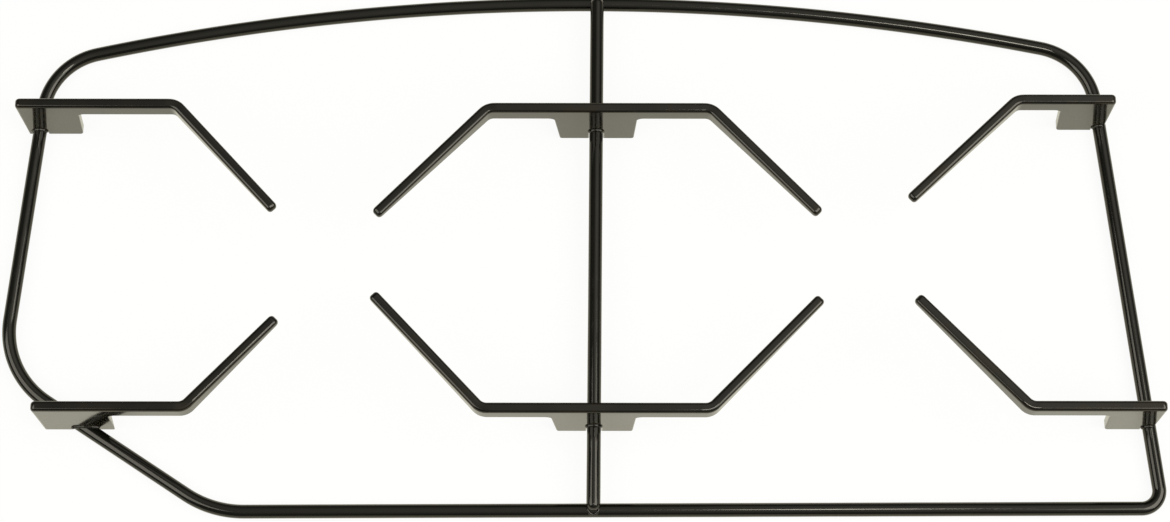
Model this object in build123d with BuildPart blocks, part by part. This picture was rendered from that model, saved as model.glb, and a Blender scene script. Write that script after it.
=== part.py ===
# Hob pan support for two burners: a ring of round wire at the bottom, a cross bar lapped over it, and six
# arms of flat strip on edge. Each arm stands on a foot that is notched over the wire, and its fingers are
# bent about 45 degrees towards a burner. X runs to the right, Y to the rear and Z up. The origin is at the
# middle of the ring's outline, on the plane that the soles stand on.
import os
from math import sqrt

from build123d import *

os.makedirs("parts", exist_ok=True)

# Round wire of the ring and the cross bar
wire_diameter = 6.0
wire_lift = 0.6
weld_sink = 0.8
weld_clearance = 0.1

# Ring outline, along the middle of the wire
ring_depth = 229.8
front_bar_lean = 1.8
ring_bow_x = 3.2
ring_bow_radius = 1000.0
ring_front_right = 247.2
ring_rear_right = 225.3
ring_rear_left = 234.8
ring_front_left = 248.4
ring_cut_depth = 60.7
ring_cut_front = 155.8
front_right_radius = 8.0
rear_radius = 29.0
cut_side_radius = 39.0
cut_front_radius = 45.0

# Cross bar, and the middles of the two burners
cross_bar_rear_x = 7.5
cross_bar_front_x = 5.8
cross_bar_overhang = 1.5
left_burner_x = -107.8
right_burner_x = 121.2
burner_y = -9.8

# Strip of the arms
top_height = 36.0
strip_thickness = 4.5
blade_height = 9.6
tip_height = 4.6
bend_radius = 6.0
top_chamfer = 0.9
tip_round = 1.7

# Rows of arms, by the middle of the strip
rear_left_row = 57.1
rear_centre_row = 55.4
rear_right_row = 59.5
front_left_row = -76.4
front_centre_row = -76.8
front_right_row = -75.8

# How far each finger's bend stays from the middle of its burner along X, and its tip along X and Y
rear_left_bend_reach = 66.2
rear_centre_left_bend_reach = 68.0
rear_centre_right_bend_reach = 64.7
rear_right_bend_reach = 67.1
front_left_bend_reach = 57.4
front_centre_left_bend_reach = 66.3
front_centre_right_bend_reach = 66.1
front_right_bend_reach = 67.2
rear_left_tip_reach = (22.6, 19.6)
rear_centre_left_tip_reach = (20.7, 17.4)
rear_centre_right_tip_reach = (19.2, 18.1)
rear_right_tip_reach = (19.7, 24.4)
front_left_tip_reach = (20.3, 28.3)
front_centre_left_tip_reach = (20.2, 17.8)
front_centre_right_tip_reach = (19.2, 19.3)
front_right_tip_reach = (21.2, 18.8)

# Feet, measured along the strip from the middle of the wire that each one stands over
centre_foot_reach = 16.0
corner_foot_reach = 18.2
front_left_foot_reach = 14.6
foot_flare = 2.4
foot_root_radius = 3.0
sole_round = 1.2
rear_left_overhang = 5.5
right_overhang = 2.2

# Heights and places that follow from the sizes above
wire_radius = wire_diameter / 2
seat_radius = wire_radius + weld_clearance
ring_height = wire_lift + wire_radius
cross_bar_height = ring_height + wire_diameter - weld_sink
blade_bottom = top_height - blade_height
blade_middle = top_height - blade_height / 2
root_blend = 2 * foot_root_radius
ring_rear = ring_depth / 2
ring_front = -ring_depth / 2


def bow_y(x):
    """Y of the ring's bowed rear at x."""
    return ring_rear - ring_bow_radius + sqrt(ring_bow_radius**2 - (x - ring_bow_x) ** 2)


front_right_corner = (ring_front_right, ring_front + front_bar_lean)
rear_right_corner = (ring_rear_right, bow_y(ring_rear_right))
rear_left_corner = (-ring_rear_left, bow_y(-ring_rear_left))
cut_side_corner = (-ring_front_left, ring_front + ring_cut_depth)
cut_front_corner = (-ring_cut_front, ring_front)


def run_x(start, end, y):
    """X where the straight wire from start to end crosses the row at y."""
    start_x, start_y, *_ = start
    end_x, end_y, *_ = end
    return start_x + (y - start_y) / (end_y - start_y) * (end_x - start_x)


rear_left_wire_x = run_x(rear_left_corner, cut_side_corner, rear_left_row)
rear_right_wire_x = run_x(rear_right_corner, front_right_corner, rear_right_row)
front_right_wire_x = run_x(rear_right_corner, front_right_corner, front_right_row)
front_left_wire_x = run_x(cut_side_corner, cut_front_corner, front_left_row)

# Where the cross bar's middle line crosses the ring's front bar and its bowed rear
front_share = (cross_bar_front_x - cut_front_corner[0]) / (front_right_corner[0] - cut_front_corner[0])
front_bar_y = cut_front_corner[1] + front_share * (front_right_corner[1] - cut_front_corner[1])
cross_bar_front = Vector(cross_bar_front_x, front_bar_y, cross_bar_height)
cross_bar_rear = Vector(cross_bar_rear_x, bow_y(cross_bar_rear_x), cross_bar_height)
rear_centre_wire_x = run_x(cross_bar_front, cross_bar_rear, rear_centre_row)
front_centre_wire_x = run_x(cross_bar_front, cross_bar_rear, front_centre_row)


# Middle line of the ring: straight sides and front, a bowed rear, and rounded corners
with BuildSketch(Plane.XY.offset(ring_height)) as ring_outline:
    with BuildLine():
        Polyline(rear_left_corner, cut_side_corner, cut_front_corner, front_right_corner, rear_right_corner)
        ThreePointArc(rear_right_corner, (ring_bow_x, ring_rear), rear_left_corner)
    make_face()
    for corner, radius in (
        (front_right_corner, front_right_radius),
        (rear_right_corner, rear_radius),
        (rear_left_corner, rear_radius),
        (cut_side_corner, cut_side_radius),
        (cut_front_corner, cut_front_radius),
    ):
        fillet(ring_outline.vertices().sort_by_distance((*corner, ring_height))[0], radius)

ring_path = ring_outline.sketch.face().outer_wire()
ring_section = Plane(origin=ring_path @ 0, x_dir=(0, 0, 1), z_dir=ring_path % 0)

# Ring of round wire, bent from one length
with BuildPart() as perimeter_ring:
    with BuildSketch(ring_section):
        Circle(wire_radius)
    sweep(path=ring_path)

perimeter_ring.part.label = "perimeter_ring"
export_step(perimeter_ring.part, "parts/perimeter_ring.step")

# Room that the ring takes in a piece that is welded across it
with BuildPart() as ring_room:
    with BuildSketch(ring_section):
        Circle(seat_radius)
    sweep(path=ring_path)

# Notch that lets a foot down over the ring: the wire's round with straight sides below it
with BuildPart() as ring_notch:
    with BuildSketch(ring_section):
        Circle(seat_radius)
        Rectangle(top_height, 2 * seat_radius, align=(Align.MAX, Align.CENTER))
    sweep(path=ring_path)

# Cross bar, sunk a little into the ring's front bar and bowed rear where it is lapped over them
cross_bar_run = (cross_bar_rear - cross_bar_front).normalized()
cross_bar_length = (cross_bar_rear - cross_bar_front).length + 2 * cross_bar_overhang
cross_bar_start = cross_bar_front - cross_bar_run * cross_bar_overhang
cross_bar_section = Plane(origin=cross_bar_start, x_dir=(0, 0, 1), z_dir=cross_bar_run)

with BuildPart() as cross_bar:
    with BuildSketch(cross_bar_section):
        Circle(wire_radius)
    extrude(amount=cross_bar_length)
    add(ring_room.part, mode=Mode.SUBTRACT)

cross_bar.part.label = "cross_bar"
export_step(cross_bar.part, "parts/cross_bar.step")

# Notch that lets a centre foot down over the cross bar
with BuildPart() as cross_bar_notch:
    with BuildSketch(cross_bar_section):
        Circle(seat_radius)
        Rectangle(top_height, 2 * seat_radius, align=(Align.MAX, Align.CENTER))
    extrude(amount=cross_bar_length)


def tip_point(burner_x, across, towards, reach):
    """Plan point of a finger's tip; across and towards are the finger's side and its sense along Y."""
    return (burner_x + across * reach[0], burner_y - towards * reach[1])


def bent_strip(points):
    """Flat bar on edge along the plan points, bent on a small radius at each inner one."""
    with BuildPart() as strip:
        with BuildLine(Plane.XY.offset(blade_middle)) as middle:
            FilletPolyline(*points, radius=bend_radius)
        with BuildSketch(Plane(origin=middle.line @ 0, x_dir=(0, 0, 1), z_dir=middle.line % 0)):
            Rectangle(blade_height, strip_thickness)
        sweep(path=middle.line)
    return strip.part


def standing_foot(row, ends, roots, soles):
    """Foot plate in one piece with the strip: side view from the left end to the right, then extruded.

    ends are the X of the two ends of its top, inside the strip; roots are the X of the corners under the
    blade and soles those of the sole.
    """
    left_under = [(x, blade_bottom) for x in roots if x < soles[0]]
    right_under = [(x, blade_bottom) for x in roots if x > soles[1]]
    left_top = [(ends[0], blade_middle), (ends[0], blade_bottom)]
    right_top = [(ends[1], blade_bottom), (ends[1], blade_middle)]
    sole_line = [(x, 0) for x in soles]
    with BuildPart() as foot:
        with BuildSketch(Plane.XZ.offset(-row)) as side_view:
            with BuildLine():
                Polyline(*left_top, *left_under, *sole_line, *right_under, *right_top, close=True)
            make_face()
            for x in roots:
                fillet(side_view.vertices().sort_by_distance((x, blade_bottom))[0], foot_root_radius)
            for x in soles:
                fillet(side_view.vertices().sort_by_distance((x, 0))[0], sole_round)
        extrude(amount=strip_thickness / 2, both=True)
    return foot.part


def finger_taper(bend, tip):
    """Wedge that thins a finger from below, from its bend to its tip."""
    along = Vector(tip[0] - bend[0], tip[1] - bend[1])
    beyond = along.length + strip_thickness
    rise = beyond * (blade_height - tip_height) / along.length
    below = -strip_thickness
    side = Plane(origin=(*bend, blade_bottom), x_dir=along, z_dir=along.cross(Vector(0, 0, 1)))
    with BuildPart() as wedge:
        with BuildSketch(side):
            with BuildLine():
                Polyline((0, 0), (beyond, rise), (beyond, below), (0, below), close=True)
            make_face()
        extrude(amount=strip_thickness, both=True)
    return wedge.part


def round_arm(arm, tips):
    """Rounded finger tips and a softened edge round the top."""
    for tip in tips:
        fillet(arm.edges().filter_by(Axis.Z).sort_by_distance((*tip, top_height))[:2], tip_round)
    chamfer(arm.faces().sort_by(Axis.Z)[-1].edges(), top_chamfer)


def corner_arm(row, outer_end, inner_sole, bend_x, tip, towards_burner):
    """Arm at a corner of the ring, with one finger."""
    bend = (bend_x, row)
    inner_root = inner_sole + towards_burner * foot_flare
    strip = bent_strip([(outer_end, row), bend, tip])
    ends = sorted([outer_end, inner_root + towards_burner * root_blend])
    foot = standing_foot(row, ends, [inner_root], sorted([outer_end, inner_sole]))
    wedge = finger_taper(bend, tip)
    with BuildPart() as arm:
        add(strip)
        add(foot)
        add(wedge, mode=Mode.SUBTRACT)
        round_arm(arm, [tip])
        add(ring_notch.part, mode=Mode.SUBTRACT)
    return arm


def centre_arm(row, wire_x, left_bend_x, left_tip, right_bend_x, right_tip):
    """Arm across the middle, with a finger for each burner and a foot over the cross bar."""
    left_bend = (left_bend_x, row)
    right_bend = (right_bend_x, row)
    strip = bent_strip([left_tip, left_bend, right_bend, right_tip])
    soles = [wire_x - centre_foot_reach, wire_x + centre_foot_reach]
    roots = [soles[0] - foot_flare, soles[1] + foot_flare]
    foot = standing_foot(row, [roots[0] - root_blend, roots[1] + root_blend], roots, soles)
    left_wedge = finger_taper(left_bend, left_tip)
    right_wedge = finger_taper(right_bend, right_tip)
    with BuildPart() as arm:
        add(strip)
        add(foot)
        add([left_wedge, right_wedge], mode=Mode.SUBTRACT)
        round_arm(arm, [left_tip, right_tip])
        add(cross_bar_notch.part, mode=Mode.SUBTRACT)
    return arm


# The six arms
rear_left_arm = corner_arm(
    row=rear_left_row,
    outer_end=rear_left_wire_x - rear_left_overhang,
    inner_sole=rear_left_wire_x + corner_foot_reach,
    bend_x=left_burner_x - rear_left_bend_reach,
    tip=tip_point(left_burner_x, -1, -1, rear_left_tip_reach),
    towards_burner=1,
)
rear_right_arm = corner_arm(
    row=rear_right_row,
    outer_end=rear_right_wire_x + right_overhang,
    inner_sole=rear_right_wire_x - corner_foot_reach,
    bend_x=right_burner_x + rear_right_bend_reach,
    tip=tip_point(right_burner_x, 1, -1, rear_right_tip_reach),
    towards_burner=-1,
)
front_left_arm = corner_arm(
    row=front_left_row,
    outer_end=front_left_wire_x - front_left_foot_reach,
    inner_sole=front_left_wire_x + front_left_foot_reach,
    bend_x=left_burner_x - front_left_bend_reach,
    tip=tip_point(left_burner_x, -1, 1, front_left_tip_reach),
    towards_burner=1,
)
front_right_arm = corner_arm(
    row=front_right_row,
    outer_end=front_right_wire_x + right_overhang,
    inner_sole=front_right_wire_x - corner_foot_reach,
    bend_x=right_burner_x + front_right_bend_reach,
    tip=tip_point(right_burner_x, 1, 1, front_right_tip_reach),
    towards_burner=-1,
)
rear_centre_arm = centre_arm(
    row=rear_centre_row,
    wire_x=rear_centre_wire_x,
    left_bend_x=left_burner_x + rear_centre_left_bend_reach,
    left_tip=tip_point(left_burner_x, 1, -1, rear_centre_left_tip_reach),
    right_bend_x=right_burner_x - rear_centre_right_bend_reach,
    right_tip=tip_point(right_burner_x, -1, -1, rear_centre_right_tip_reach),
)
front_centre_arm = centre_arm(
    row=front_centre_row,
    wire_x=front_centre_wire_x,
    left_bend_x=left_burner_x + front_centre_left_bend_reach,
    left_tip=tip_point(left_burner_x, 1, 1, front_centre_left_tip_reach),
    right_bend_x=right_burner_x - front_centre_right_bend_reach,
    right_tip=tip_point(right_burner_x, -1, 1, front_centre_right_tip_reach),
)

for label, arm in (
    ("rear_left_arm", rear_left_arm),
    ("rear_centre_arm", rear_centre_arm),
    ("rear_right_arm", rear_right_arm),
    ("front_left_arm", front_left_arm),
    ("front_centre_arm", front_centre_arm),
    ("front_right_arm", front_right_arm),
):
    arm.part.label = label
    export_step(arm.part, f"parts/{label}.step")
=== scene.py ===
import math

import bmesh
import bpy
from mathutils import Matrix, Vector, noise


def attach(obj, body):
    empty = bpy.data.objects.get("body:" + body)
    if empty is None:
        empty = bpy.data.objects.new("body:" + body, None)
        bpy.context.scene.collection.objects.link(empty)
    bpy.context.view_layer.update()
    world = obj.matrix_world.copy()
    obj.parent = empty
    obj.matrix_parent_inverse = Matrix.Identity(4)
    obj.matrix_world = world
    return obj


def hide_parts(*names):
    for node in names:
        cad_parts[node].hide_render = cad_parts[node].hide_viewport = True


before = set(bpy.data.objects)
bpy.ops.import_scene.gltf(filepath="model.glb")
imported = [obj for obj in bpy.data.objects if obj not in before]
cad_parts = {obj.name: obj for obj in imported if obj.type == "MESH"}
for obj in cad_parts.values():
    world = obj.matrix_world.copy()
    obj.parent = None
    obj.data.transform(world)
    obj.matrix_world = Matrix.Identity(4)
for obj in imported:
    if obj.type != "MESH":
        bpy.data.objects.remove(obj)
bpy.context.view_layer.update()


# Perimeter ring: one length of 6 mm steel wire, bent to the hob's outline and welded into a closed loop.
# It is dipped in glossy black enamel with all the rest, which leaves a faintly rippled, glassy skin.
MM = 0.001
wire_radius = 3 * MM
wire_sides = 40
ring_height = 3.6 * MM
ring_front = -114.9 * MM
ring_rear = 114.9 * MM
front_bar_lean = 1.8 * MM
cut_depth = 60.7 * MM
bow_radius = 1000 * MM
bow_centre = Vector((3.2 * MM, ring_rear - bow_radius))
front_right_bend = 8 * MM
rear_bend = 29 * MM
cut_side_bend = 39 * MM
cut_front_bend = 45 * MM
fine_step = 0.5 * MM
bend_step = 1.5 * MM
long_step = 4 * MM


def on_bow(x):
    """Point of the bowed rear's middle line at x."""
    return Vector((x, bow_centre.y + math.sqrt(bow_radius**2 - (x - bow_centre.x) ** 2)))


front_right_corner = Vector((247.2 * MM, ring_front + front_bar_lean))
rear_right_corner = on_bow(225.3 * MM)
rear_left_corner = on_bow(-234.8 * MM)
cut_side_corner = Vector((-248.4 * MM, ring_front + cut_depth))
cut_front_corner = Vector((-155.8 * MM, ring_front))


def arc(centre, start, end, step):
    """Plan points of the shorter arc about a centre, from start to end, both included."""
    first = math.atan2(start.y - centre.y, start.x - centre.x)
    turn = math.atan2(end.y - centre.y, end.x - centre.x) - first
    turn = (turn + math.pi) % (2 * math.pi) - math.pi
    radius = (start - centre).length
    count = max(2, math.ceil(abs(turn) * radius / step))
    angles = [first + turn * i / count for i in range(count + 1)]
    return [centre + radius * Vector((math.cos(a), math.sin(a))) for a in angles]


def bend_between(before, corner, after, radius, step):
    """Plan points of the rounded bend that a straight length makes at a corner."""
    back = (before - corner).normalized()
    ahead = (after - corner).normalized()
    half = back.angle(ahead) / 2
    reach = radius / math.tan(half)
    centre = corner + (back + ahead).normalized() * radius / math.sin(half)
    return arc(centre, corner + back * reach, corner + ahead * reach, step)


def bend_to_bow(corner, along):
    """Middle and ends of the bend between a straight side, which leaves corner along a line, and the bow."""
    inward = Vector((-along.y, along.x))
    if inward.dot(bow_centre - corner) < 0:
        inward = -inward
    start = corner + inward * rear_bend - bow_centre
    middle_term = start.dot(along)
    gap = start.length_squared - (bow_radius - rear_bend) ** 2
    slide = -middle_term - math.sqrt(middle_term**2 - gap)
    centre = bow_centre + start + along * slide
    return centre, corner + along * slide, bow_centre + (centre - bow_centre).normalized() * bow_radius


right_down = (front_right_corner - rear_right_corner).normalized()
left_down = (cut_side_corner - rear_left_corner).normalized()
right_centre, right_side_end, right_bow_end = bend_to_bow(rear_right_corner, right_down)
left_centre, left_side_end, left_bow_end = bend_to_bow(rear_left_corner, left_down)
ring_line = bend_between(cut_front_corner, front_right_corner, rear_right_corner, front_right_bend, fine_step)
ring_line += arc(right_centre, right_side_end, right_bow_end, bend_step)
ring_line += arc(bow_centre, right_bow_end, left_bow_end, long_step)[1:-1]
ring_line += arc(left_centre, left_bow_end, left_side_end, bend_step)
ring_line += bend_between(rear_left_corner, cut_side_corner, cut_front_corner, cut_side_bend, bend_step)
ring_line += bend_between(cut_side_corner, cut_front_corner, front_right_corner, cut_front_bend, bend_step)


def spaced(points, step):
    """The same closed line, with points added where two neighbours are further apart than step."""
    filled = []
    for here, there in zip(points, points[1:] + points[:1]):
        count = max(1, math.ceil((there - here).length / step))
        filled += [here.lerp(there, i / count) for i in range(count)]
    return filled


def coated_radius(point):
    """Radius of the enamelled wire at a point: its coat varies a little and never passes the full radius."""
    swell, swell_scale = 0.008, 60
    return wire_radius * (1 - swell + swell * noise.noise(point * swell_scale))


def round_bar(name, line, radii, sides, closed):
    """Mesh of a round bar along 3-D points, with its radius at each; open ends are capped."""
    verts, faces = [], []
    last = len(line) - 1
    steep = 0.9
    side = None
    for i, point in enumerate(line):
        ahead = line[(i + 1) % len(line)] if closed or i < last else point
        behind = line[i - 1] if closed or i > 0 else point
        along = (ahead - behind).normalized()
        if side is None:
            reference = Vector((0, 0, 1)) if abs(along.z) < steep else Vector((1, 0, 0))
            side = along.cross(reference).normalized()
        side = (side - along * side.dot(along)).normalized()
        up = side.cross(along)
        for j in range(sides):
            angle = 2 * math.pi * j / sides
            verts.append(point + radii[i] * (math.cos(angle) * side + math.sin(angle) * up))
    for i in range(len(line) if closed else last):
        a, b = i * sides, ((i + 1) % len(line)) * sides
        faces += [(a + j, b + j, b + (j + 1) % sides, a + (j + 1) % sides) for j in range(sides)]
    if not closed:
        faces.append(tuple(range(sides)))
        faces.append(tuple(last * sides + j for j in reversed(range(sides))))
    mesh = bpy.data.meshes.new(name)
    mesh.from_pydata([tuple(v) for v in verts], [], faces)
    mesh.update()
    return mesh


def grain(tree, place, scale, detail):
    """Output of a noise over the given coordinates."""
    node = tree.nodes.new("ShaderNodeTexNoise")
    node.inputs["Scale"].default_value = scale
    node.inputs["Detail"].default_value = detail
    tree.links.new(place, node.inputs["Vector"])
    return node.outputs["Fac"]


def ranged(tree, value, before, after):
    """Output of a node that carries a value from one range to another and stops at its ends."""
    node = tree.nodes.new("ShaderNodeMapRange")
    node.inputs["From Min"].default_value, node.inputs["From Max"].default_value = before
    node.inputs["To Min"].default_value, node.inputs["To Max"].default_value = after
    tree.links.new(value, node.inputs["Value"])
    return node.outputs["Result"]


def black_enamel(name, body_colour, thin_colour, painted_table_light, ripple):
    """Glossy vitreous enamel: near-black glass with a faint orange-peel ripple.

    It shows browner where it lies thin. Lower down, towards the table, it is painted lighter: painted light
    that stands in for the white table's reflection.
    """
    glass_index = 1.5
    glass_tint = (1, 0.96, 0.8, 1)
    cloud_scale, cloud_detail = 45, 5
    body_until, thin_from = 0.42, 0.72
    painted_light_starts, painted_light_full = 32 * MM, 8 * MM
    bloom_scale, bloom_detail, bloom_range = 160, 3, (0.3, 0.75)
    smoothest, dullest = 0.06, 0.15
    peel_scale, peel_detail, peel_depth = 420, 2, 0.25 * MM

    material = bpy.data.materials.new(name)
    material.use_nodes = True
    tree = material.node_tree
    nodes, links = tree.nodes, tree.links
    shader = nodes["Principled BSDF"]
    shader.inputs["IOR"].default_value = glass_index
    shader.inputs["Specular Tint"].default_value = glass_tint
    place = nodes.new("ShaderNodeTexCoord").outputs["Object"]

    colour = nodes.new("ShaderNodeValToRGB")
    body, thin = colour.color_ramp.elements
    body.position, body.color = body_until, (*body_colour, 1)
    thin.position, thin.color = thin_from, (*thin_colour, 1)
    links.new(grain(tree, place, cloud_scale, cloud_detail), colour.inputs["Fac"])
    axes = nodes.new("ShaderNodeSeparateXYZ")
    links.new(place, axes.inputs["Vector"])
    # Painted light: the colour is painted lighter towards the table, in place of the table's reflection on
    # the low parts.
    painted_light_mix = nodes.new("ShaderNodeMix")
    painted_light_mix.data_type = "RGBA"
    painted_light_mix.inputs["B"].default_value = (*painted_table_light, 1)
    painted_light_share = ranged(tree, axes.outputs["Z"], (painted_light_starts, painted_light_full), (0, 1))
    links.new(painted_light_share, painted_light_mix.inputs["Factor"])
    links.new(colour.outputs["Color"], painted_light_mix.inputs["A"])
    links.new(painted_light_mix.outputs["Result"], shader.inputs["Base Color"])

    bloom = grain(tree, place, bloom_scale, bloom_detail)
    links.new(ranged(tree, bloom, bloom_range, (smoothest, dullest)), shader.inputs["Roughness"])

    skin = nodes.new("ShaderNodeBump")
    skin.inputs["Strength"].default_value = ripple
    skin.inputs["Distance"].default_value = peel_depth
    links.new(grain(tree, place, peel_scale, peel_detail), skin.inputs["Height"])
    links.new(skin.outputs["Normal"], shader.inputs["Normal"])
    return material


def enamelled_piece(mesh, material):
    """A smooth-shaded piece in the object's frame that is welded into the one rigid body."""
    mesh.shade_smooth()
    mesh.materials.append(material)
    piece = bpy.data.objects.new(mesh.name, mesh)
    bpy.context.scene.collection.objects.link(piece)
    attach(piece, "root")
    return piece


wire_enamel = black_enamel(
    "wire_enamel",
    body_colour=(0.003, 0.003, 0.0025),
    thin_colour=(0.008, 0.0065, 0.004),
    # painted light: a lighter colour towards the table, standing in for the table's reflection
    painted_table_light=(0.004, 0.004, 0.003),
    ripple=0.01,
)
ring_points = [Vector((p.x, p.y, ring_height)) for p in spaced(ring_line, long_step)]
ring_radii = [coated_radius(p) for p in ring_points]
ring = enamelled_piece(round_bar("ring_wire", ring_points, ring_radii, wire_sides, True), wire_enamel)
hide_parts("perimeter_ring")


# Cross bar: a straight length of the same wire, laid over the ring's bowed rear and its front bar and
# welded down where it crosses them. Its ends are melted round by the weld.
bar_height = 8.8 * MM
bar_front_x, bar_rear_x = 5.8 * MM, 7.5 * MM
bar_overhang = 0.9 * MM
bar_end_round = 2.6 * MM
bar_end_steps = 10
bar_step = 3 * MM
front_share = (bar_front_x - cut_front_corner.x) / (front_right_corner.x - cut_front_corner.x)
bar_front = Vector((bar_front_x, ring_front + front_share * front_bar_lean, bar_height))
bar_rear = Vector((bar_rear_x, on_bow(bar_rear_x).y, bar_height))
bar_along = (bar_rear - bar_front).normalized()
bar_start = bar_front - bar_along * bar_overhang
bar_end = bar_rear + bar_along * bar_overhang
bar_length = (bar_end - bar_start).length
end_angles = [math.pi / 2 * i / bar_end_steps for i in range(bar_end_steps + 1)]
end_stations = [bar_end_round * (1 - math.cos(angle)) for angle in end_angles]
bar_stations = end_stations + [bar_end_round + bar_step * i for i in range(1, int(bar_length / bar_step))]
bar_stations = [s for s in bar_stations if s < bar_length - bar_end_round]
bar_stations += [bar_length - s for s in reversed(end_stations)]
bar_points = [bar_start + bar_along * s for s in bar_stations]
bar_radii = []
for station, point in zip(bar_stations, bar_points):
    into = min(station, bar_length - station, bar_end_round)
    shoulder = math.sqrt(max(0, bar_end_round**2 - (bar_end_round - into) ** 2))
    bar_radii.append(coated_radius(point) - bar_end_round + shoulder)
bar = enamelled_piece(round_bar("cross_bar_wire", bar_points, bar_radii, wire_sides, False), wire_enamel)
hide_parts("cross_bar")


# Arms: each is pressed from 4.5 mm steel strip as one flat blank, blade and foot together, with a notch in
# the foot. Its fingers are then bent on a press, and the foot is set over the wire and welded.
strip_half = 2.25 * MM
top_height = 35.99 * MM
sole_height = 0.01 * MM
blade_bottom = 26.4 * MM
tip_bottom = 31.4 * MM
strip_bend = 6 * MM
crown_round = 1.5 * MM
foot_round = 0.7 * MM
end_corner = 2.1 * MM
sole_corner = 1.2 * MM
foot_root = 3 * MM
taper_bend = 20 * MM
seat_radius = 3.1 * MM
foot_flare = 2.4 * MM
blank_step = 0.25 * MM


def rounded_outline(corners):
    """Points of a closed outline in the blank's plane, and how far its edge is rounded over at each.

    Each corner is (along, height, radius of the corner, radius of the edge there).
    """
    points, rounds = [], []
    count = len(corners)
    for i, (along, height, radius, edge) in enumerate(corners):
        here = Vector((along, height))
        before = Vector(corners[i - 1][:2])
        after = Vector(corners[(i + 1) % count][:2])
        corner_points = bend_between(before, here, after, radius, blank_step) if radius > 0 else [here]
        points += corner_points
        rounds += [edge] * len(corner_points)
    return points, rounds


def notch_corners(middle, half_width, height):
    """Corners of a notch open at the sole: straight sides and a round top over the wire."""
    seat_steps = 16
    sole_left = (middle - half_width, sole_height, 0, foot_round)
    sole_right = (middle + half_width, sole_height, 0, foot_round)
    over = []
    for i in range(seat_steps + 1):
        angle = math.pi * (1 - i / seat_steps)
        along = middle + half_width * math.cos(angle)
        over.append((along, height + seat_radius * math.sin(angle), 0, foot_round))
    return [sole_left] + over + [sole_right]


def inset(outline, depths):
    """The outline, which runs counter-clockwise, moved into the metal by the depth at each point."""
    moved = []
    for i, (here, depth) in enumerate(zip(outline, depths)):
        back = (here - outline[i - 1]).normalized()
        ahead = (outline[(i + 1) % len(outline)] - here).normalized()
        first, second = Vector((-back.y, back.x)), Vector((-ahead.y, ahead.x))
        moved.append(here + (first + second) * (depth / (1 + first.dot(second))))
    return moved


def strip_line(points):
    """Straights and bends of the strip's middle line through plan points, bent at the inner ones.

    Each is (kind, length at its start, length at its end, start or centre, direction at its start, turn).
    """
    pieces, gone = [], 0.0
    start = points[0]
    for i in range(1, len(points)):
        here = points[i]
        along = (here - start).normalized()
        if i == len(points) - 1:
            pieces.append(("straight", gone, gone + (here - start).length, start, along, None))
            break
        bend = bend_between(points[i - 1], here, points[i + 1], strip_bend, blank_step)
        run = (bend[0] - start).length
        pieces.append(("straight", gone, gone + run, start, along, None))
        gone += run
        leaving = (points[i + 1] - here).normalized()
        turn = math.atan2(along.cross(leaving), along.dot(leaving))
        sense = math.copysign(1, turn)
        centre = bend[0] + sense * strip_bend * Vector((-along.y, along.x))
        pieces.append(("bend", gone, gone + abs(turn) * strip_bend, centre, along, sense))
        gone += abs(turn) * strip_bend
        start = bend[-1]
    return pieces


def on_strip(pieces, along_strip, out):
    """Plan point at a length along the strip, moved out to the left of its middle line."""
    for kind, first, last, origin, along, sense in pieces:
        if along_strip <= last or last == pieces[-1][2]:
            left = Vector((-along.y, along.x))
            if kind == "straight":
                return origin + along * (along_strip - first) + left * out
            angle = (along_strip - first) / strip_bend * sense
            arm = Vector((left.x * math.cos(angle) - left.y * math.sin(angle),
                          left.x * math.sin(angle) + left.y * math.cos(angle)))
            return origin - sense * arm * strip_bend + arm * out


def pressed_blank(corners):
    """The flat blank with its edges rounded over: along X, across Y from face to face, and up Z."""
    edge_steps = 7
    blank = bmesh.new()
    outline, rounds = rounded_outline(corners)
    loops = []
    for side in (-1, 1):
        order = range(edge_steps + 1) if side < 0 else range(edge_steps, -1, -1)
        for k in order:
            angle = math.pi / 2 * k / edge_steps
            moved = inset(outline, [r * (1 - math.sin(angle)) for r in rounds])
            outs = [side * (strip_half - r * (1 - math.cos(angle))) for r in rounds]
            loops.append([blank.verts.new((p.x, out, p.y)) for p, out in zip(moved, outs)])
    count = len(outline)
    for lower, upper in zip(loops, loops[1:]):
        for i in range(count):
            j = (i + 1) % count
            blank.faces.new((lower[i], lower[j], upper[j], upper[i]))
    blank.faces.new(list(reversed(loops[0])))
    blank.faces.new(loops[-1])
    return blank


def bend_blank(blank, pieces, wire_along, wire_lean, foot_span):
    """Bends the blank along its line and turns its notch to the wire that it stands over.

    wire_along is where the wire crosses the strip, wire_lean how far it drifts along it per length across.
    """
    bend_cuts, cuts_beyond = 14, 6
    lean_full_at, lean_fades_over = 0.5, 12 * MM
    bend_sink, sink_beyond = 0.25 * MM, 2 * MM
    bends = [(first, last, sense) for kind, first, last, _, _, sense in pieces if kind == "bend"]
    for first, last, _ in bends:
        for i in range(-cuts_beyond, bend_cuts + cuts_beyond + 1):
            place = first + (last - first) * i / bend_cuts
            everything = blank.verts[:] + blank.edges[:] + blank.faces[:]
            bmesh.ops.bisect_plane(blank, geom=everything, plane_co=(place, 0, 0), plane_no=(1, 0, 0))
    bmesh.ops.triangulate(blank, faces=[f for f in blank.faces if len(f.verts) > 4])
    for vert in blank.verts:
        along, out, height = vert.co
        if foot_span[0] < along < foot_span[1]:
            end = foot_span[0] if along < wire_along else foot_span[1]
            share = min(1, abs(along - end) / (abs(wire_along - end) * lean_full_at))
            fade = min(1, max(0, (blade_bottom - height) / lean_fades_over))
            along += share * fade * wire_lean * out
        for first, last, sense in bends:
            if height > top_height - crown_round:
                from_middle = abs(along - (first + last) / 2) / ((last - first) / 2 + sink_beyond)
                outer_share = (1 - sense * out / strip_half) / 2
                height -= bend_sink * outer_share * math.cos(math.pi / 2 * min(1, from_middle)) ** 2
        spot = on_strip(pieces, along, out)
        vert.co = (spot.x, spot.y, height)


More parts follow.
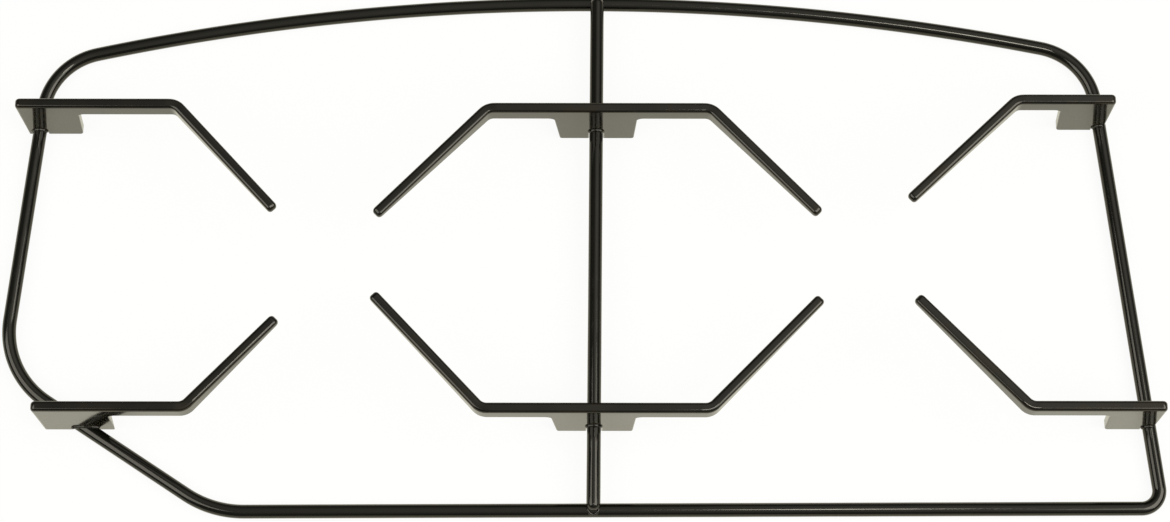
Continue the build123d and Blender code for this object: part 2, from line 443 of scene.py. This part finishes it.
def pressed_arm(node, corners, pieces, wire_along, wire_lean, foot_span):
    """One arm in place of its node: its blank is pressed, then bent, and its faces are turned outward."""
    metal = pressed_blank(corners)
    bend_blank(metal, pieces, wire_along, wire_lean, foot_span)
    bmesh.ops.recalc_face_normals(metal, faces=metal.faces[:])
    if metal.calc_volume(signed=True) < 0:
        bmesh.ops.reverse_faces(metal, faces=metal.faces[:])
    mesh = bpy.data.meshes.new(node + "_strip")
    metal.to_mesh(mesh)
    metal.free()
    arm = enamelled_piece(mesh, arm_enamel)
    even = arm.modifiers.new("even_shading", "WEIGHTED_NORMAL")
    even.weight = 100
    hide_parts(node)


def wire_x(start, end, y):
    """X where a straight wire from start to end crosses a row."""
    return start.x + (y - start.y) / (end.y - start.y) * (end.x - start.x)


arm_enamel = black_enamel(
    "arm_enamel",
    body_colour=(0.003, 0.003, 0.0025),
    thin_colour=(0.01, 0.0075, 0.004),
    # painted light: the feet are painted a lighter olive, standing in for the table's reflection
    painted_table_light=(0.014, 0.0125, 0.007),
    ripple=0.01,
)
arm_welds = []


def corner_arm(node, row, run, overhang, foot_reach, bend_x, tip):
    """Arm with one finger whose foot stands over a straight run of the ring."""
    sliver = 0.2 * MM
    crossing = wire_x(*run, row)
    inward = math.copysign(1, bend_x - crossing)
    outer_end = crossing - inward * overhang
    lean = (run[1].x - run[0].x) / (run[1].y - run[0].y)
    half_width = seat_radius * math.sqrt(1 + lean**2)
    pieces = strip_line([Vector((outer_end, row)), Vector((bend_x, row)), tip])
    length = pieces[-1][2]
    bend_at = abs(bend_x - outer_end)
    sole_end = overhang + foot_reach
    root = sole_end + foot_flare
    over = notch_corners(overhang, half_width, ring_height)
    if overhang < half_width:
        rise = seat_radius * math.sqrt(1 - (overhang / half_width) ** 2)
        corners = [(0, ring_height + rise, 0, foot_round)] + [c for c in over if c[0] > sliver]
    else:
        corners = [(0, sole_height, 0, foot_round)] + over
    corners += [
        (sole_end, sole_height, sole_corner, foot_round),
        (root, blade_bottom, foot_root, foot_round),
        (bend_at, blade_bottom, taper_bend, foot_round),
        (length, tip_bottom, end_corner, crown_round),
        (length, top_height, end_corner, crown_round),
        (0, top_height, end_corner, crown_round),
    ]
    pressed_arm(node, corners, pieces, overhang, lean, (0, root))
    foot_limits = sorted((outer_end, crossing + inward * foot_reach))
    along_wire = (run[1] - run[0]).normalized()
    arm_welds.append((node, row, Vector((crossing, row, ring_height)), along_wire, foot_limits))


def centre_arm(node, row, left_bend_x, left_tip, right_bend_x, right_tip):
    """Arm with two fingers whose foot stands over the cross bar, and is steeper at its right end."""
    left_reach, right_reach, right_flare = 16 * MM, 16.6 * MM, 1.2 * MM
    crossing = wire_x(bar_front, bar_rear, row)
    lean = (bar_rear.x - bar_front.x) / (bar_rear.y - bar_front.y)
    pieces = strip_line([left_tip, Vector((left_bend_x, row)), Vector((right_bend_x, row)), right_tip])
    length = pieces[-1][2]
    _, straight_from, _, straight_start, _, _ = pieces[2]
    middle = straight_from + crossing - straight_start.x
    left_at = middle - (crossing - left_bend_x)
    right_at = middle + (right_bend_x - crossing)
    left_root = middle - left_reach - foot_flare
    right_root = middle + right_reach + right_flare
    corners = [
        (middle - left_reach, sole_height, sole_corner, foot_round),
        *notch_corners(middle, seat_radius, bar_height),
        (middle + right_reach, sole_height, sole_corner, foot_round),
        (right_root, blade_bottom, foot_root, foot_round),
        (right_at, blade_bottom, taper_bend, foot_round),
        (length, tip_bottom, end_corner, crown_round),
        (length, top_height, end_corner, crown_round),
        (0, top_height, end_corner, crown_round),
        (0, tip_bottom, end_corner, crown_round),
        (left_at, blade_bottom, taper_bend, foot_round),
        (left_root, blade_bottom, foot_root, foot_round),
    ]
    pressed_arm(node, corners, pieces, middle, lean, (left_root, right_root))
    foot_limits = (crossing - left_reach, crossing + right_reach)
    arm_welds.append((node, row, Vector((crossing, row, bar_height)), bar_along.to_2d(), foot_limits))


left_run = (cut_side_corner, rear_left_corner)
right_run = (front_right_corner, rear_right_corner)
cut_run = (cut_side_corner, cut_front_corner)
corner_foot_reach = 18.2 * MM
front_left_foot_reach = 14.6 * MM
right_overhang = 2.2 * MM
left_burner = Vector((-107.8 * MM, -9.8 * MM))
right_burner = Vector((121.2 * MM, -9.8 * MM))


def from_burner(burner, across, along):
    """Plan point, in millimetres from the middle of a burner."""
    return burner + Vector((across * MM, along * MM))


corner_arm(
    "rear_left_arm",
    row=57.1 * MM,
    run=left_run,
    overhang=5.5 * MM,
    foot_reach=corner_foot_reach,
    bend_x=left_burner.x - 66.2 * MM,
    tip=from_burner(left_burner, -22.6, 19.6),
)
centre_arm(
    "rear_centre_arm",
    row=55.4 * MM,
    left_bend_x=left_burner.x + 68 * MM,
    left_tip=from_burner(left_burner, 20.7, 17.4),
    right_bend_x=right_burner.x - 64.7 * MM,
    right_tip=from_burner(right_burner, -19.2, 18.1),
)
corner_arm(
    "rear_right_arm",
    row=59.5 * MM,
    run=right_run,
    overhang=right_overhang,
    foot_reach=corner_foot_reach,
    bend_x=right_burner.x + 67.1 * MM,
    tip=from_burner(right_burner, 19.7, 24.4),
)
corner_arm(
    "front_left_arm",
    row=-76.4 * MM,
    run=cut_run,
    overhang=front_left_foot_reach,
    foot_reach=front_left_foot_reach,
    bend_x=left_burner.x - 57.4 * MM,
    tip=from_burner(left_burner, -20.3, -28.3),
)
centre_arm(
    "front_centre_arm",
    row=-76.8 * MM,
    left_bend_x=left_burner.x + 66.3 * MM,
    left_tip=from_burner(left_burner, 20.2, -17.8),
    right_bend_x=right_burner.x - 66.1 * MM,
    right_tip=from_burner(right_burner, -19.2, -19.3),
)
corner_arm(
    "front_right_arm",
    row=-75.8 * MM,
    run=right_run,
    overhang=right_overhang,
    foot_reach=corner_foot_reach,
    bend_x=right_burner.x + 67.2 * MM,
    tip=from_burner(right_burner, 21.2, -18.8),
)


# Foot welds: a small fillet bead on each face of a foot, run over the top of the wire that the foot stands
# on. The enamel flows over it and leaves it soft and a little lumpy.
bead_radius = 0.75 * MM
bead_sides = 12
bead_steps = 64
bead_reach = wire_radius + 0.15 * MM
bead_from_face = 0.1 * MM
bead_end_share, bead_end_rise = 0.3, 8
bead_lumps, bead_lump_scale = 0.3, 700
weld_enamel = black_enamel(
    "weld_enamel",
    body_colour=(0.004, 0.004, 0.003),
    thin_colour=(0.008, 0.007, 0.005),
    # painted light: a lighter colour towards the table, standing in for the table's reflection
    painted_table_light=(0.006, 0.0055, 0.004),
    ripple=0.08,
)


def lumpy(radius, point, lumps, scale):
    """Radius of a bead at a point, with its lumps."""
    return radius * (1 + lumps * noise.noise(point * scale))


for node, row, middle, along, (foot_low, foot_high) in arm_welds:
    across = Vector((-along.y, along.x))
    for side, face in (("front", -1), ("rear", 1)):
        plane_y = row + face * (strip_half + bead_from_face)
        bead_line = []
        for i in range(bead_steps + 1):
            angle = math.pi * i / bead_steps
            sideways = bead_reach * math.cos(angle)
            run = (plane_y - middle.y - sideways * across.y) / along.y
            spot = middle.to_2d() + along * run + across * sideways
            if foot_low + bead_radius < spot.x < foot_high - bead_radius:
                bead_line.append(Vector((spot.x, spot.y, middle.z + bead_reach * math.sin(angle))))
        last = len(bead_line) - 1
        bead_radii = []
        for i, point in enumerate(bead_line):
            taper = min(1, bead_end_share + bead_end_rise * min(i, last - i) / last)
            bead_radii.append(lumpy(bead_radius * taper, point, bead_lumps, bead_lump_scale))
        bead = round_bar(f"{node}_weld_{side}", bead_line, bead_radii, bead_sides, False)
        enamelled_piece(bead, weld_enamel)


# Lap welds: a bead round the saddle where the cross bar lies on the ring, at the front bar and at the rear.
# It goes all the way round the joint, and is thinner than the beads on the feet.
lap_radius = 0.8 * bead_radius
lap_steps = 48
lap_beyond = 0.1 * MM
lap_lumps, lap_lump_scale = 0.2, 600


def saddle(angle):
    """Reach from the crossing, and height, at which the bar's underside meets the ring's top."""
    halvings, just_inside = 30, 0.999
    low, high = 0.0, just_inside * wire_radius
    for _ in range(halvings):
        reach = (low + high) / 2
        bar_under = bar_height - math.sqrt(wire_radius**2 - (reach * math.cos(angle)) ** 2)
        ring_over = ring_height + math.sqrt(wire_radius**2 - (reach * math.sin(angle)) ** 2)
        if bar_under < ring_over:
            low = reach
        else:
            high = reach
    return reach, (bar_under + ring_over) / 2


for side, crossing in (("front", bar_front), ("rear", bar_rear)):
    lap_line = []
    for i in range(lap_steps):
        angle = 2 * math.pi * i / lap_steps
        reach, height = saddle(angle)
        reach += lap_beyond
        spot = Vector((reach * math.cos(angle), reach * math.sin(angle), height - bar_height))
        lap_line.append(crossing + spot)
    lap_radii = [lumpy(lap_radius, point, lap_lumps, lap_lump_scale) for point in lap_line]
    lap = round_bar(f"cross_bar_weld_{side}", lap_line, lap_radii, bead_sides, True)
    enamelled_piece(lap, weld_enamel)


# Table: a plain board in warm white paint that the support stands on. The camera sees it as white, with a
# part of the support's shadow, and the enamel mirrors it as a warm white.
table_reach = 4.0
table_colour = (0.92, 0.9, 0.76, 1)
mirrored_colour = (1, 0.97, 0.8, 1)
white = (1, 1, 1, 1)
table_in_view, table_in_mirror = 0.92, 0.8


def worked_out(tree, operation, *values):
    """Output of a math node; each value is a number or the output of another node."""
    node = tree.nodes.new("ShaderNodeMath")
    node.operation = operation
    for socket, value in zip(node.inputs, values):
        if isinstance(value, (int, float)):
            socket.default_value = value
        else:
            tree.links.new(value, socket)
    return node.outputs[0]


def backdrop_share(tree, in_view, in_mirror):
    """How much of the plain backdrop a ray is shown: one share to the camera, another in the enamel."""
    ray = tree.nodes.new("ShaderNodeLightPath").outputs
    mirrored = worked_out(tree, "MAXIMUM", ray["Is Glossy Ray"], ray["Is Transmission Ray"])
    mirror_share = worked_out(tree, "MULTIPLY", mirrored, in_mirror)
    view_share = worked_out(tree, "MULTIPLY", ray["Is Camera Ray"], in_view)
    return worked_out(tree, "MAXIMUM", view_share, mirror_share)


table_paint = bpy.data.materials.new("table_paint")
table_paint.use_nodes = True
paint_tree = table_paint.node_tree
paint_tree.nodes.clear()
board = paint_tree.nodes.new("ShaderNodeBsdfDiffuse")
board.inputs["Color"].default_value = table_colour
glow = paint_tree.nodes.new("ShaderNodeEmission")
glow.inputs["Strength"].default_value = 1
glow_colour = paint_tree.nodes.new("ShaderNodeMix")
glow_colour.data_type = "RGBA"
glow_colour.inputs["A"].default_value = mirrored_colour
glow_colour.inputs["B"].default_value = white
seen = paint_tree.nodes.new("ShaderNodeLightPath")
paint_tree.links.new(seen.outputs["Is Camera Ray"], glow_colour.inputs["Factor"])
paint_tree.links.new(glow_colour.outputs["Result"], glow.inputs["Color"])
blend = paint_tree.nodes.new("ShaderNodeMixShader")
paint_tree.links.new(backdrop_share(paint_tree, table_in_view, table_in_mirror), blend.inputs["Fac"])
paint_tree.links.new(board.outputs["BSDF"], blend.inputs[1])
paint_tree.links.new(glow.outputs["Emission"], blend.inputs[2])
paint_out = paint_tree.nodes.new("ShaderNodeOutputMaterial")
paint_tree.links.new(blend.outputs["Shader"], paint_out.inputs["Surface"])

table_mesh = bpy.data.meshes.new("table")
table_corners = [(x * table_reach, y * table_reach, 0) for x, y in ((-1, -1), (1, -1), (1, 1), (-1, 1))]
table_mesh.from_pydata(table_corners, [], [(0, 1, 2, 3)])
table_mesh.materials.append(table_paint)
table = bpy.data.objects.new("table", table_mesh)
bpy.context.scene.collection.objects.link(table)


# Camera: high in front of the table and almost in the middle, looking steeply down on the support.
# Its focal length is given in pixels, for a picture of a set width.
picture_width = 1170
focal_pixels = 2792.3
sensor_width = 36
camera_place = (0.85 * MM, -339.4 * MM, 1170.4 * MM)
pitch, yaw, roll = math.radians(73.97), math.radians(0.23), math.radians(0.289)
camera_data = bpy.data.cameras.new("camera")
camera_data.sensor_fit = "HORIZONTAL"
camera_data.sensor_width = sensor_width
camera_data.lens = sensor_width * focal_pixels / picture_width
camera_data.clip_start = 10 * MM
camera = bpy.data.objects.new("camera", camera_data)
bpy.context.scene.collection.objects.link(camera)
looking = Vector((math.sin(yaw) * math.cos(pitch), math.cos(yaw) * math.cos(pitch), -math.sin(pitch)))
level = Vector((math.cos(yaw), -math.sin(yaw), 0))
upright = level.cross(looking)
camera_right = level * math.cos(roll) + upright * math.sin(roll)
camera_up = upright * math.cos(roll) - level * math.sin(roll)
turned = Matrix((camera_right, camera_up, -looking)).transposed().to_4x4()
camera.matrix_world = Matrix.Translation(camera_place) @ turned
bpy.context.scene.camera = camera


# Light: two large soft boxes above the table, to the left and the right, and a small one beside the camera.
# The room is brighter overhead and to the right, and dim low down. It shows white to the camera, as a plain
# backdrop, and only faintly so in the enamel.
side_box_size = (1.2, 1.2)
camera_box_size = (0.2, 0.16)
room_low_to_high, low_to_high_level = (0.35, 0.95), (0.04, 1)
room_left_to_right, left_to_right_level = (-0.35, 0.4), (0.12, 1.1)
room_in_view, room_in_mirror = 1, 0.12


def soft_box(name, place, size, power):
    """A soft box, its place and size in metres and its power in watts, turned to the middle of the table."""
    data = bpy.data.lights.new(name, "AREA")
    data.shape = "RECTANGLE"
    data.size, data.size_y = size
    data.energy = power
    lamp = bpy.data.objects.new(name, data)
    bpy.context.scene.collection.objects.link(lamp)
    lamp.location = place
    lamp.rotation_euler = (-Vector(place)).to_track_quat("-Z", "Y").to_euler()


soft_box("left_box", place=(-1.05, -0.3, 1.15), size=side_box_size, power=13)
soft_box("right_box", place=(1.05, -0.3, 1.15), size=side_box_size, power=16.5)
soft_box("camera_box", place=(0.22, -0.23, 1.17), size=camera_box_size, power=1.3)

room = bpy.data.worlds.new("room")
bpy.context.scene.world = room
room.use_nodes = True
room_tree = room.node_tree
toward = room_tree.nodes.new("ShaderNodeTexCoord")
room_axes = room_tree.nodes.new("ShaderNodeSeparateXYZ")
room_tree.links.new(toward.outputs["Generated"], room_axes.inputs["Vector"])
overhead = ranged(room_tree, room_axes.outputs["Z"], room_low_to_high, low_to_high_level)
to_the_right = ranged(room_tree, room_axes.outputs["X"], room_left_to_right, left_to_right_level)
room_light = worked_out(room_tree, "MULTIPLY", overhead, to_the_right)
wall_share = backdrop_share(room_tree, room_in_view, room_in_mirror)
walls = room_tree.nodes["Background"]
walls.inputs["Color"].default_value = white
room_tree.links.new(worked_out(room_tree, "MAXIMUM", room_light, wall_share), walls.inputs["Strength"])
bpy.context.scene.view_settings.view_transform = "Standard"
